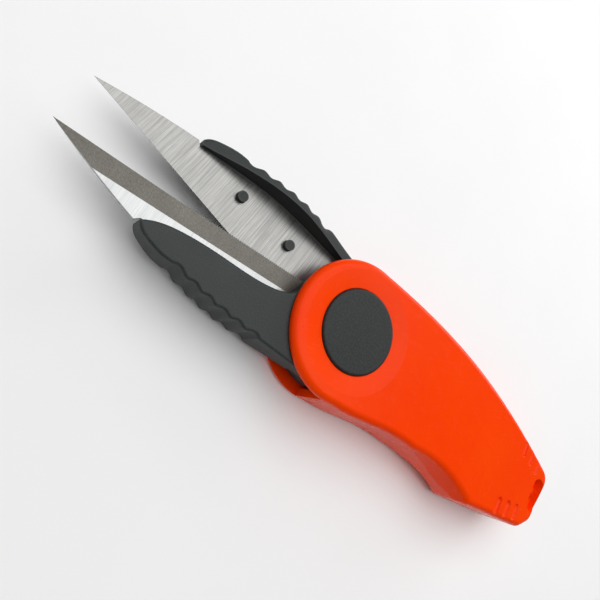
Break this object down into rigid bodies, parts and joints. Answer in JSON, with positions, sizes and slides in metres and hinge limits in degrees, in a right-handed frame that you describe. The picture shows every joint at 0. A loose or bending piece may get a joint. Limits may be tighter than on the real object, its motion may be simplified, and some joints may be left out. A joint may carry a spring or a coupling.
{
  "type": "folding thread snips",
  "caption": "Sprung thread snips with scalloped thumb rests and thin blades that fold into a U-shaped moulded cover with a lanyard hole.",
  "frame": {"origin": "on the pivot axis, in the plane that the snips rest on", "axes": "+X along the snips towards the blade tips, +Y towards the front arm, +Z along the pivot, up from the rest plane"},
  "size_m": [0.1248, 0.028, 0.012],
  "materials": {
    "cover_plastic": "semi-gloss moulded orange-red",
    "arm_plastic": "fine-textured dark grey",
    "blade_steel": "brushed across the blade with a ground bevel",
    "spring_steel": "drawn wire",
    "rivet_steel": "turned"
  },
  "bodies": {
    "cover_body": {"cover": "cover_plastic"},
    "pivot_core": {"pivot_rivet": "rivet_steel", "front_pivot_washer": "rivet_steel", "rear_pivot_washer": "rivet_steel", "torsion_spring": "spring_steel"},
    "front_snip": {"front_arm": "arm_plastic", "front_blade": "blade_steel", "front_pivot_cap": "arm_plastic"},
    "rear_snip": {"rear_arm": "arm_plastic", "rear_blade": "blade_steel", "rear_pivot_cap": "arm_plastic"}
  },
  "joints": [
    {"name": "fold", "type": "hinge", "parent": "cover_body", "child": "pivot_core", "pos_m": [0, 0, 0.006], "axis": [0, 0, -1], "range_deg": [0, 171]},
    {"name": "front_squeeze", "type": "hinge", "parent": "pivot_core", "child": "front_snip", "pos_m": [0, 0, 0.006], "axis": [0, 0, -1], "range_deg": [0, 4.5], "stiffness_Nm_per_rad": 0.05, "springref_deg": -34.38, "deforming": ["torsion_spring"]},
    {"name": "rear_squeeze", "type": "hinge", "parent": "pivot_core", "child": "rear_snip", "pos_m": [0, 0, 0.006], "axis": [0, 0, 1], "range_deg": [0, 4.5], "stiffness_Nm_per_rad": 0.05, "springref_deg": -34.38}
  ],
  "couplings": [
    {"joint": "rear_squeeze", "follows": "front_squeeze", "ratio": 1}
  ]
}
